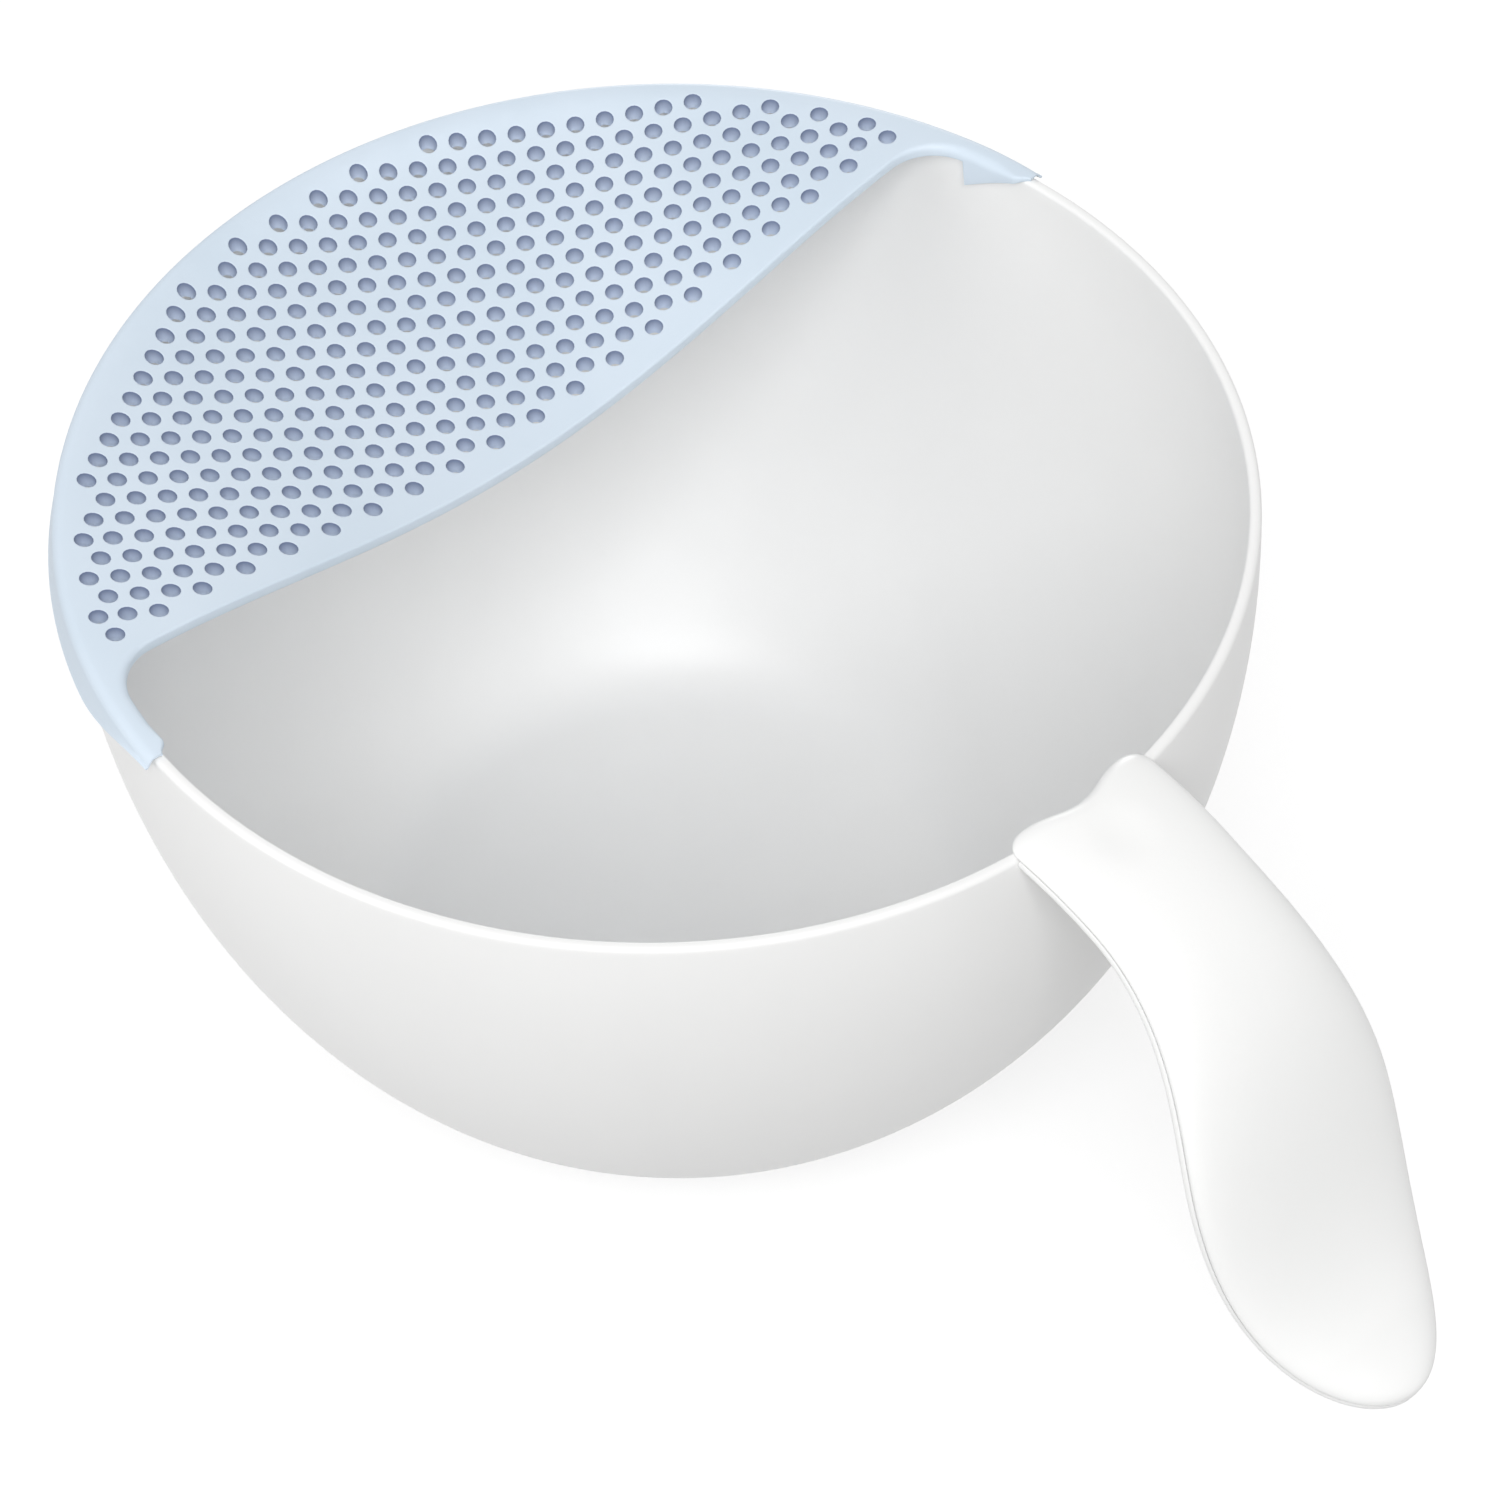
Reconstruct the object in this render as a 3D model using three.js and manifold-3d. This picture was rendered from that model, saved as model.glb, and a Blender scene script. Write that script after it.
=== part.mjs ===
// A mixing bowl with a clip-on silicone strainer and a two-shell handle, in millimetres with +Z up.
// The origin is the centre of the bowl's flat base. +X points along the handle, -X to the strainer.
import * as THREE from "three";
import { mergeVertices } from "three/addons/utils/BufferGeometryUtils.js";
import Module from "manifold-3d";

const wasm = await Module();
wasm.setup();

// Sizes of the bowl
const RIM_RADIUS = 106; // outside of the rim
const RIM_HEIGHT = 120; // top of the rim above the table
const WALL = 2.2;
const FLOOR = 3.2;
const BASE_RADIUS = 50; // flat round face that it stands on
const BASE_ROUND = 9; // height of the rounding from the base to the wall
const BODY_DEPTH = 143; // the wall is half an ellipse that would close this far below the rim
const RIM_CHAMFER = 0.8;
const FACETS = 60; // round the bowl, and round the strainer so that their flats lie side by side
const WALL_STEPS = 9;
const ROUND_STEPS = 3;

// Sizes of the tang that carries the handle
const TANG_LENGTH = 19; // past the rim
const TANG_WIDTH = 18;
const TANG_THICKNESS = 2.4;
const TANG_DROP = 2.6; // middle of the tang below the top of the rim

// Sizes of the strainer
const CLIP_GAP = 0.3; // between the channel and the rim, all round
const SKIN = 1.2; // wall of the channel
const HEM_FLARE = 1.2; // the skirt's outside leans out by this much down to its full hem
const SKIRT_DEPTH = 6.5; // outside, below the top of the rim
const LIP_DEPTH = 6; // inside, below the top of the rim, along the horns
const TIP_DEPTH = 1.8; // of skirt and lip at the tips of the horns
const HORN_ANGLE = 84; // the channel runs this far each way from the middle
const TAPER_ANGLE = 14; // skirt and lip shorten over this last stretch
const FREE_EDGE = 33; // from the bowl's axis to the free edge of the web
const EDGE_BOW = 0.6; // the free edge bows this much in the middle
const EDGE_STEPS = 28;
const CORNER_RADIUS = 8;
const CORNER_STEPS = 4;
const WEB_THICKNESS = 3.2;
const WEB_STEP = 0.3; // the web meets the cap this far below its top
const WEB_LAP = 0.1; // the web stops this far inside the backs of the lips
const CAP_LAP = 0.35; // the cap reaches this far over the web
const WEB_SAG = 18.5; // how far the web would hang at the bowl's axis
const HOLE_DIAMETER = 3.3;
const HOLE_PITCH = 5.5;
const HOLE_BORDER = 6.8; // free edge to the first row of hole centres
const RIM_BORDER = 2.35; // rim to the outermost hole centres
const DRAW_IN = 0.6; // holes up to this far past that border are drawn in to it
const HOLE_SIDES = 6;
const HOLE_TURN = 15; // degrees, keeps the corners of neighbouring holes out of line

// Sizes of the handle
const HANDLE_REACH = 82.2; // tip past the rim
const HANDLE_DROP = 82; // tip below the top of the rim
const HANDLE_RUN = 64.8; // it leaves the rim level, towards a point this far out
const TIP_ANGLE = 18.6; // degrees below level at the tip
const TIP_LEAD = 50.6; // how strongly the tip keeps that angle
const NECK_HALF = 15.8;
const GRIP_HALF = 23.2;
const NECK_AT = 22; // along the handle
const GRIP_AT = 76; // along the handle
const EAR_LAP = 4; // the ears reach this far past the inside of the rim
const SADDLE_LAP = 1.9; // and the saddle between them this far
const SADDLE_RADIUS = 20;
const EAR_ROUND = 5;
const CROWN = 5; // upper shell above the parting line
const BELLY = 6; // lower shell below the parting line
const SECTION_POWER = 2.3; // 2 is an ellipse, more is boxier
const SHELL_WALL = 2;
const SEAM_GAP = 0.3;
const SEAT_GAP = 0.3; // shells to bowl, tang and screws
const CAVITY_END = 8; // solid length at the tip
const SHELL_STEPS = 18;
const ARCH_STEPS = 10;

// Sizes of the screws
const SCREW_RADIUS = 1.45;
const SCREW_HEAD_RADIUS = 2.75;
const SCREW_HEAD = 1.6;
const SCREW_SOCKET_RADIUS = 1.2;
const SCREW_SOCKET = 0.9;
const SCREW_SUNK = 0.6; // head below the skin of the lower shell
const SCREW_LENGTH = 8; // head and shank
const SCREW_POINT = 0.8;
const SCREW_SIDES = 12;
const BOSS_WALL = 1.6;
const TANG_SCREW_OUT = 12; // past the rim
const TANG_SCREW_SIDE = 4.8; // from the middle plane

// Fineness of the working
const WELD = 1e-4; // points closer than this are one
const SAME_ANGLE = 1e-6; // radians
const PATH_STEPS = 400; // along the handle, when its length is measured

// Values that follow from the sizes
const RIM_INNER = RIM_RADIUS - WALL;
const FACET = (2 * Math.PI) / FACETS;
const CAP_TOP = RIM_HEIGHT + CLIP_GAP + SKIN;
const WEB_RADIUS = RIM_INNER - CLIP_GAP;
const LIP_RADIUS = WEB_RADIUS - SKIN;
const PLATE_RADIUS = WEB_RADIUS - WEB_LAP;
const CAP_EDGE = WEB_RADIUS - CAP_LAP;
const SKIRT_INNER = RIM_RADIUS + CLIP_GAP;
const SKIRT_OUTER = SKIRT_INNER + SKIN;

const whitePlastic = new THREE.MeshStandardMaterial({ color: 0xf4f4f0, roughness: 0.25, metalness: 0 });
const blueSilicone = new THREE.MeshStandardMaterial({ color: 0xc3d3ea, roughness: 0.6, metalness: 0 });
const steel = new THREE.MeshStandardMaterial({ color: 0xb8bcc0, roughness: 0.35, metalness: 1 });

// A closed geometry as a solid that can be joined and cut.
function solid(geometry) {
  const bare = geometry.clone();
  bare.deleteAttribute("normal");
  bare.deleteAttribute("uv");
  const merged = mergeVertices(bare, WELD);
  const vertProperties = new Float32Array(merged.attributes.position.array);
  const triVerts = new Uint32Array(merged.index.array);
  return new wasm.Manifold(new wasm.Mesh({ numProp: 3, vertProperties, triVerts }));
}

// A solid as a named mesh of the scene.
function meshOf(name, body, material) {
  const { vertProperties, triVerts } = body.getMesh();
  const geometry = new THREE.BufferGeometry();
  geometry.setAttribute("position", new THREE.BufferAttribute(vertProperties, 3));
  geometry.setIndex(new THREE.BufferAttribute(triVerts, 1));
  geometry.computeVertexNormals();
  const mesh = new THREE.Mesh(geometry, material);
  mesh.name = name;
  return mesh;
}

// A profile of (radius, height) points turned about the Z axis.
function turned(points, sides) {
  return new THREE.LatheGeometry(points, sides).rotateX(Math.PI / 2);
}

// A closed body through rings of equally many points, with flat ends.
function lofted(rings, capPoints) {
  const count = rings[0].length;
  const positions = rings.flat().flatMap((p) => [p.x, p.y, p.z]);
  const index = [];
  for (let i = 0; i + 1 < rings.length; i++) {
    for (let j = 0; j < count; j++) {
      const a = i * count + j;
      const b = i * count + ((j + 1) % count);
      index.push(a, b, b + count, a, b + count, a + count);
    }
  }
  const last = (rings.length - 1) * count;
  const clockwise = THREE.ShapeUtils.isClockWise(capPoints);
  for (const face of THREE.ShapeUtils.triangulateShape(capPoints, [])) {
    const [a, b, c] = clockwise ? face.reverse() : face;
    index.push(c, b, a, last + a, last + b, last + c);
  }
  const geometry = new THREE.BufferGeometry();
  geometry.setAttribute("position", new THREE.Float32BufferAttribute(positions, 3));
  geometry.setIndex(index);
  const body = solid(geometry);
  if (body.volume() > 0) return body;
  geometry.setIndex(index.reverse());
  return solid(geometry);
}

// Half of the bowl's section: a flat base, a rounding and half an ellipse up to the given height.
function wallProfile(radius, depth, baseHeight, baseRadius) {
  const turn = -Math.asin((RIM_HEIGHT - baseHeight - BASE_ROUND) / depth);
  const start = new THREE.Vector2(radius * Math.cos(turn), RIM_HEIGHT + depth * Math.sin(turn));
  const slope = (-radius * Math.sin(turn)) / (depth * Math.cos(turn));
  const corner = new THREE.Vector2(start.x - slope * BASE_ROUND, baseHeight);
  const foot = new THREE.Vector2(baseRadius, baseHeight);
  const rounding = new THREE.QuadraticBezierCurve(foot, corner, start).getPoints(ROUND_STEPS);
  const wall = new THREE.EllipseCurve(0, RIM_HEIGHT, radius, depth, turn, 0).getPoints(WALL_STEPS);
  return [...rounding, ...wall.slice(1, -1)];
}

function bowlBody() {
  const outer = wallProfile(RIM_RADIUS, BODY_DEPTH, 0, BASE_RADIUS);
  const inner = wallProfile(RIM_INNER, BODY_DEPTH - WALL, FLOOR, BASE_RADIUS);
  const rim = [
    new THREE.Vector2(RIM_RADIUS, RIM_HEIGHT - RIM_CHAMFER),
    new THREE.Vector2(RIM_RADIUS - RIM_CHAMFER, RIM_HEIGHT),
    new THREE.Vector2(RIM_INNER + RIM_CHAMFER, RIM_HEIGHT),
    new THREE.Vector2(RIM_INNER, RIM_HEIGHT - RIM_CHAMFER),
  ];
  const bottom = new THREE.Vector2(0, 0);
  const floor = new THREE.Vector2(0, FLOOR);
  return solid(turned([bottom, ...outer, ...rim, ...inner.reverse(), floor], FACETS));
}

// The tang grows out of the middle of the wall, grown by a gap where it cuts its slot.
function tangBody(gap) {
  const inside = RIM_RADIUS - WALL / 2;
  const length = RIM_RADIUS + TANG_LENGTH - inside + gap;
  const box = new THREE.BoxGeometry(length, TANG_WIDTH + 2 * gap, TANG_THICKNESS + 2 * gap);
  return solid(box.translate(inside + length / 2, 0, RIM_HEIGHT - TANG_DROP));
}

// The space that the bowl fills, grown by the seat gap, with its mouth closed.
function bowlSpace() {
  const outer = wallProfile(RIM_RADIUS + SEAT_GAP, BODY_DEPTH + SEAT_GAP, -SEAT_GAP, BASE_RADIUS);
  const top = RIM_HEIGHT + SEAT_GAP;
  const lid = [new THREE.Vector2(RIM_RADIUS + SEAT_GAP, top), new THREE.Vector2(0, top)];
  return solid(turned([new THREE.Vector2(0, -SEAT_GAP), ...outer, ...lid], FACETS));
}

// Height of the web's upper face: level with the cap at the rim, hanging towards the bowl's axis.
function webTop(x, y) {
  const inward = 1 - (x * x + y * y) / (WEB_RADIUS * WEB_RADIUS);
  const across = 1 - (y * y) / (WEB_RADIUS * WEB_RADIUS);
  return CAP_TOP - WEB_STEP - WEB_SAG * across * inward;
}

// A point at an angle from the middle of the strainer, which lies on -X.
function onArc(radius, angle, z) {
  return new THREE.Vector3(-radius * Math.cos(angle), radius * Math.sin(angle), z);
}

// Angles from one end to the other that share the bowl's facet corners.
function facetAngles(from, to) {
  const between = [];
  for (let k = Math.floor(from / FACET) + 1; k * FACET < to - SAME_ANGLE; k++) {
    if (k * FACET > from + SAME_ANGLE) between.push(k * FACET);
  }
  return [from, ...between, to];
}

// Outline of the web in plan: bowed free edge, rounded corners, and the arc inside the rim.
function webOutline() {
  const centre = new THREE.Vector2(CORNER_RADIUS - FREE_EDGE, 0);
  centre.y = Math.sqrt((LIP_RADIUS - CORNER_RADIUS) ** 2 - centre.x ** 2);
  const cornerTurn = Math.atan2(centre.y, centre.x);
  const corner = new THREE.EllipseCurve(
    centre.x, centre.y, CORNER_RADIUS, CORNER_RADIUS, cornerTurn, Math.PI,
  ).getPoints(CORNER_STEPS);
  const edge = [];
  for (let k = 1; k < EDGE_STEPS; k++) {
    const y = centre.y * (1 - (2 * k) / EDGE_STEPS);
    edge.push(new THREE.Vector2(EDGE_BOW * ((y / centre.y) ** 2 - 1) - FREE_EDGE, y));
  }
  const mirrored = corner.map((p) => new THREE.Vector2(p.x, -p.y)).reverse();
  const end = Math.PI - cornerTurn;
  const arc = facetAngles(-end, end).map((a) => onArc(PLATE_RADIUS, a, 0));
  return [...corner, ...edge, ...mirrored, ...arc.map((p) => new THREE.Vector2(p.x, p.y))];
}

// Hole centres on a triangular grid whose rows run away from the free edge.
function holeCentres() {
  const centres = [];
  const farthest = RIM_INNER - RIM_BORDER;
  const rowStep = (HOLE_PITCH * Math.sqrt(3)) / 2;
  const rows = Math.floor(farthest / rowStep);
  for (let row = -rows; row <= rows; row++) {
    const y = row * rowStep;
    const first = FREE_EDGE + HOLE_BORDER + (row % 2 === 0 ? HOLE_PITCH / 2 : 0);
    for (let x = first; Math.hypot(x, y) <= farthest + DRAW_IN; x += HOLE_PITCH) {
      centres.push(new THREE.Vector2(-x, y).clampLength(0, farthest));
    }
  }
  return centres;
}

// The web: a flat plate with its holes cut, then every point let down by the sag.
function webBody() {
  const flat = { depth: WEB_THICKNESS, bevelEnabled: false };
  const plate = solid(new THREE.ExtrudeGeometry(new THREE.Shape(webOutline()), flat));
  const pin = new THREE.CylinderGeometry(
    HOLE_DIAMETER / 2, HOLE_DIAMETER / 2, 3 * WEB_THICKNESS, HOLE_SIDES,
  ).rotateX(Math.PI / 2).rotateZ(THREE.MathUtils.degToRad(HOLE_TURN));
  const pins = holeCentres().map((centre) => solid(pin.clone().translate(centre.x, centre.y, 0)));
  const { vertProperties, triVerts } = plate.subtract(wasm.Manifold.union(pins)).getMesh();
  for (let k = 0; k < vertProperties.length; k += 3) {
    const top = webTop(vertProperties[k], vertProperties[k + 1]);
    vertProperties[k + 2] += top - WEB_THICKNESS;
  }
  return new wasm.Manifold(new wasm.Mesh({ numProp: 3, vertProperties, triVerts }));
}

// Depth of skirt or lip below the rim: full, then shortening to the tip of the horn.
function hornDepth(angle, depth) {
  const taper = THREE.MathUtils.degToRad(TAPER_ANGLE);
  const left = THREE.MathUtils.degToRad(HORN_ANGLE) - Math.abs(angle);
  return TIP_DEPTH + (depth - TIP_DEPTH) * THREE.MathUtils.smoothstep(left, 0, taper);
}

// A section in (radius, height) swept along the rim between two angles.
function sweptOnRim(from, to, section) {
  const rings = facetAngles(from, to).map((a) => section(a).map((p) => onArc(p.x, a, p.y)));
  return lofted(rings, section(from));
}

function capSection(angle) {
  const depth = hornDepth(angle, SKIRT_DEPTH);
  const hem = RIM_HEIGHT - depth;
  const flare = (HEM_FLARE * (depth - TIP_DEPTH)) / (SKIRT_DEPTH - TIP_DEPTH);
  return [
    new THREE.Vector2(CAP_EDGE, CAP_TOP),
    new THREE.Vector2(CAP_EDGE, RIM_HEIGHT + CLIP_GAP),
    new THREE.Vector2(SKIRT_INNER, RIM_HEIGHT + CLIP_GAP),
    new THREE.Vector2(SKIRT_INNER, hem),
    new THREE.Vector2(SKIRT_OUTER + flare, hem),
    new THREE.Vector2(SKIRT_OUTER, CAP_TOP),
  ];
}

function lipSection(angle) {
  const hem = RIM_HEIGHT - hornDepth(angle, LIP_DEPTH);
  return [
    new THREE.Vector2(LIP_RADIUS, CAP_TOP),
    new THREE.Vector2(LIP_RADIUS, hem),
    new THREE.Vector2(WEB_RADIUS, hem),
    new THREE.Vector2(WEB_RADIUS, CAP_TOP),
  ];
}

function strainerBody() {
  const tip = THREE.MathUtils.degToRad(HORN_ANGLE);
  const cornerEnd = Math.acos((FREE_EDGE - CORNER_RADIUS) / (LIP_RADIUS - CORNER_RADIUS));
  const lipStart = cornerEnd - SKIN / LIP_RADIUS;
  return webBody()
    .add(sweptOnRim(-tip, tip, capSection))
    .add(sweptOnRim(lipStart, tip, lipSection))
    .add(sweptOnRim(-tip, -lipStart, lipSection));
}

// The handle's parting line in side view, from the ears to the tip.
const handlePath = new THREE.CubicBezierCurve3(
  new THREE.Vector3(RIM_INNER - EAR_LAP, 0, RIM_HEIGHT),
  new THREE.Vector3(RIM_RADIUS + HANDLE_RUN, 0, RIM_HEIGHT),
  new THREE.Vector3(
    RIM_RADIUS + HANDLE_REACH - TIP_LEAD * Math.cos(THREE.MathUtils.degToRad(TIP_ANGLE)),
    0,
    RIM_HEIGHT - HANDLE_DROP + TIP_LEAD * Math.sin(THREE.MathUtils.degToRad(TIP_ANGLE)),
  ),
  new THREE.Vector3(RIM_RADIUS + HANDLE_REACH, 0, RIM_HEIGHT - HANDLE_DROP),
);
handlePath.arcLengthDivisions = PATH_STEPS;
const handleLength = handlePath.getLength();

// Place on the parting line, and the direction square to it, at a length along the handle.
function handleFrame(along) {
  const u = along / handleLength;
  const tangent = handlePath.getTangentAt(u);
  return { centre: handlePath.getPointAt(u), normal: new THREE.Vector3(-tangent.z, 0, tangent.x) };
}

// Half width in plan: rounded ears, a neck, a wide grip and an elliptical tip.
function handleHalf(along) {
  if (along < EAR_ROUND) {
    return NECK_HALF - EAR_ROUND + Math.sqrt(EAR_ROUND ** 2 - (EAR_ROUND - along) ** 2);
  }
  if (along < GRIP_AT) {
    return NECK_HALF + (GRIP_HALF - NECK_HALF) * THREE.MathUtils.smoothstep(along, NECK_AT, GRIP_AT);
  }
  const past = (along - GRIP_AT) / (handleLength - GRIP_AT);
  return GRIP_HALF * Math.sqrt(Math.max(0, 1 - past * past));
}

// One half of the handle's section: a flat side on the parting line and a crown of given height.
function archSection(half, flat, height) {
  const points = [];
  for (let k = 0; k <= ARCH_STEPS; k++) {
    const turn = (Math.PI * k) / ARCH_STEPS;
    const across = Math.sign(Math.cos(turn)) * Math.abs(Math.cos(turn)) ** (2 / SECTION_POWER);
    const up = Math.sin(turn) ** (2 / SECTION_POWER);
    points.push(new THREE.Vector2(half * across, flat + (height - flat) * up));
  }
  return points;
}

// A half handle between two lengths, inset by a wall. Height is above the parting line if positive.
function handleLoft(from, to, inset, flat, height) {
  const sections = [];
  const rings = [];
  for (let k = 0; k <= SHELL_STEPS; k++) {
    const along = from + (to - from) * Math.sin((Math.PI / 2) * (k / SHELL_STEPS));
    const half = handleHalf(along) - inset;
    const thin = Math.sqrt(Math.min(1, handleHalf(along) / NECK_HALF));
    const rise = Math.sign(height) * (Math.abs(height) * thin - inset);
    const section = archSection(half, flat, rise);
    const { centre, normal } = handleFrame(along);
    sections.push(section);
    rings.push(section.map((p) => centre.clone().addScaledVector(normal, p.y).setY(p.x)));
  }
  return lofted(rings, sections[0]);
}

// A screw with its head's top at the origin and its shank along +Z. Grown, it is the hole for one.
function screwBody(gap, headRoom) {
  const head = SCREW_HEAD_RADIUS + gap;
  const shank = SCREW_RADIUS + gap;
  const seat = SCREW_HEAD + gap;
  const end = SCREW_LENGTH + gap;
  const start = gap > 0
    ? [new THREE.Vector2(0, -headRoom)]
    : [new THREE.Vector2(0, SCREW_SOCKET), new THREE.Vector2(SCREW_SOCKET_RADIUS, SCREW_SOCKET),
      new THREE.Vector2(SCREW_SOCKET_RADIUS, 0)];
  const profile = [
    ...start,
    new THREE.Vector2(head, -headRoom),
    new THREE.Vector2(head, seat),
    new THREE.Vector2(shank, seat),
    new THREE.Vector2(shank, end - SCREW_POINT),
    new THREE.Vector2(0, end),
  ];
  return turned(profile, SCREW_SIDES);
}

// Each screw's place: where its head sits in the lower shell, and the way it points.
function screwPlaces() {
  const grip = handleFrame(GRIP_AT);
  const places = [{
    name: "grip_screw",
    head: grip.centre.clone().addScaledVector(grip.normal, SCREW_SUNK - BELLY),
    way: grip.normal,
  }];
  const out = RIM_RADIUS + TANG_SCREW_OUT;
  const seam = handlePath.getPoints(PATH_STEPS).find((p) => p.x >= out);
  for (const side of [-1, 1]) {
    places.push({
      name: side < 0 ? "tang_screw_front" : "tang_screw_back",
      head: new THREE.Vector3(out, side * TANG_SCREW_SIDE, seam.z - BELLY + SCREW_SUNK),
      way: new THREE.Vector3(0, 0, 1),
    });
  }
  return places;
}

// A geometry along +Z moved to a screw's place.
function atScrew(geometry, place) {
  const turn = new THREE.Quaternion().setFromUnitVectors(new THREE.Vector3(0, 0, 1), place.way);
  return geometry.applyQuaternion(turn).translate(place.head.x, place.head.y, place.head.z);
}

const screws = screwPlaces();
const screwHoles = screws
  .map((place) => solid(atScrew(screwBody(SEAT_GAP, BELLY), place)))
  .reduce((all, hole) => all.add(hole));

// Solid columns round the screws, from skin to skin.
function bosses() {
  const radius = SCREW_HEAD_RADIUS + SEAT_GAP + BOSS_WALL;
  const column = new THREE.CylinderGeometry(radius, radius, 2 * (CROWN + BELLY), SCREW_SIDES);
  return screws
    .map((place) => solid(atScrew(column.clone().rotateX(Math.PI / 2), place)))
    .reduce((all, boss) => all.add(boss));
}

// The hollow of one shell, which leaves the bosses standing.
function hollow(height) {
  const start = RIM_RADIUS - RIM_INNER + EAR_LAP + SHELL_WALL;
  const flat = -Math.sign(height) * SEAM_GAP;
  const room = handleLoft(start, handleLength - CAVITY_END, SHELL_WALL, flat, height);
  return room.subtract(bosses());
}

function shellBody(height) {
  const flat = (Math.sign(height) * SEAM_GAP) / 2;
  const tip = handleLength - SEAM_GAP;
  return handleLoft(0, tip, 0, flat, height)
    .subtract(hollow(height))
    .subtract(bowlSpace())
    .subtract(tangBody(SEAT_GAP))
    .subtract(screwHoles);
}

// The upper shell's front is cut round between the two ears.
function saddleCut() {
  const cut = new THREE.CylinderGeometry(SADDLE_RADIUS, SADDLE_RADIUS, 4 * CROWN, FACETS);
  cut.rotateX(Math.PI / 2).translate(RIM_INNER - SADDLE_LAP - SADDLE_RADIUS, 0, RIM_HEIGHT);
  return solid(cut);
}

const part = new THREE.Group();
part.add(
  meshOf("bowl", bowlBody().add(tangBody(0)).subtract(screwHoles), whitePlastic),
  meshOf("strainer", strainerBody(), blueSilicone),
  meshOf("handle_upper_shell", shellBody(CROWN).subtract(saddleCut()), whitePlastic),
  meshOf("handle_lower_shell", shellBody(-BELLY), whitePlastic),
);
for (const place of screws) {
  part.add(meshOf(place.name, solid(atScrew(screwBody(0, 0), place)), steel));
}

export default part;
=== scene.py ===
# %% [markdown]
# # A rinsing bowl with a clip-on strainer
# The object is a white moulded bowl with a curved drop handle. A pale blue silicone strainer clips
# over half of its rim, so that the bowl can be drained without losing what is in it.
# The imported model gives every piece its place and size. This lesson gives them their looks.

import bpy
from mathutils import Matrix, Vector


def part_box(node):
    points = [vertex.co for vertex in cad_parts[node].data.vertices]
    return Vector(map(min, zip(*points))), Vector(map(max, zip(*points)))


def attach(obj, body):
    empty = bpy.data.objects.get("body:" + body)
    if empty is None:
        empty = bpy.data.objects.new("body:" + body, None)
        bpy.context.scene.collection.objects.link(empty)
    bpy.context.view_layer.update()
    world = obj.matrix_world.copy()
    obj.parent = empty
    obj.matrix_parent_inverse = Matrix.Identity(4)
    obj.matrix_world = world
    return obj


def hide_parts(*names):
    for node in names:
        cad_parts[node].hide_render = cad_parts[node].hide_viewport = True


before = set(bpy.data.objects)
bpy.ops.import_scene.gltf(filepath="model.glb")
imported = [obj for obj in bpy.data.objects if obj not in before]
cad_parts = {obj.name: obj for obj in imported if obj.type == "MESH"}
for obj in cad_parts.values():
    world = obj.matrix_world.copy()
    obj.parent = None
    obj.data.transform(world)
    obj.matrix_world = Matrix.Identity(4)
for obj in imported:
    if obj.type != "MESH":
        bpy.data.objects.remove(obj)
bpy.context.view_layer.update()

# %% Tools and units
import math

import bmesh
import bpy
import numpy as np
from mathutils import Matrix
from mathutils.geometry import delaunay_2d_cdt

MM = 0.001

# %% [markdown]
# ## Sizes
# The lengths of the pieces are in millimetres, and the mesh helper turns them into metres. Only the
# floor and the lamps are given in metres. The rim and the hem of the strainer are read from the
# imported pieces, so that the new surfaces fit the frame.

# %% Sizes read from the frame
bowl_high = np.array(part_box("bowl")[1]) / MM
strainer_low = np.array(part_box("strainer")[0]) / MM
RIM_RADIUS = bowl_high[1]
RIM_HEIGHT = bowl_high[2]
HEM_RADIUS = -strainer_low[0]
print("rim radius and height", RIM_RADIUS, RIM_HEIGHT, "hem radius", HEM_RADIUS)

# %% [markdown]
# ## Camera
# The photograph was taken from above the handle's left side with a long lens. A long lens keeps the
# far rim nearly as wide as the near one, so the lens matters as much as the direction. A constraint
# could aim the camera, but a matrix also holds the picture's slight roll.

# %% Camera
CAMERA_PLACE = (468.2, -407.7, 751.5)
CAMERA_HEADING = -42.44
CAMERA_HEIGHT_ANGLE = 48.54
CAMERA_ROLL = 0.89
LENS = 120
SENSOR = 36


def camera_matrix(place, heading, height_angle, roll):
    """Looks from the place down along heading and height angle, then turns about that line by roll."""
    turn, lift, tilt = (math.radians(angle) for angle in (heading, height_angle, roll))
    level = np.array([math.cos(turn), math.sin(turn)])
    forward = -np.append(math.cos(lift) * level, math.sin(lift))
    right = np.cross(forward, [0, 0, 1])
    right /= np.linalg.norm(right)
    down = np.cross(forward, right)
    right_rolled = math.cos(tilt) * right + math.sin(tilt) * down
    down_rolled = -math.sin(tilt) * right + math.cos(tilt) * down
    matrix = np.eye(4)
    matrix[:3, 0] = right_rolled
    matrix[:3, 1] = -down_rolled
    matrix[:3, 2] = -forward
    matrix[:3, 3] = np.array(place) * MM
    return Matrix(matrix.tolist())


camera = bpy.data.objects.new("camera", bpy.data.cameras.new("camera"))
camera.data.lens = LENS
camera.data.sensor_width = SENSOR
camera.matrix_world = camera_matrix(CAMERA_PLACE, CAMERA_HEADING, CAMERA_HEIGHT_ANGLE, CAMERA_ROLL)
bpy.context.scene.collection.objects.link(camera)
bpy.context.scene.camera = camera
print("camera at", CAMERA_PLACE, "mm with a lens of", LENS, "mm")

# %% [markdown]
# ## Mesh helpers
# Blender's own shapes and modifiers could make these pieces, but a formula keeps every size in sight.
# So a surface here is a grid of points worked out by numpy. Several grids that share their edges make
# a closed piece: their points are put into one mesh, the shared points are welded, and the faces are
# turned outwards.

# %% Mesh helpers
WELD = 0.002


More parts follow.
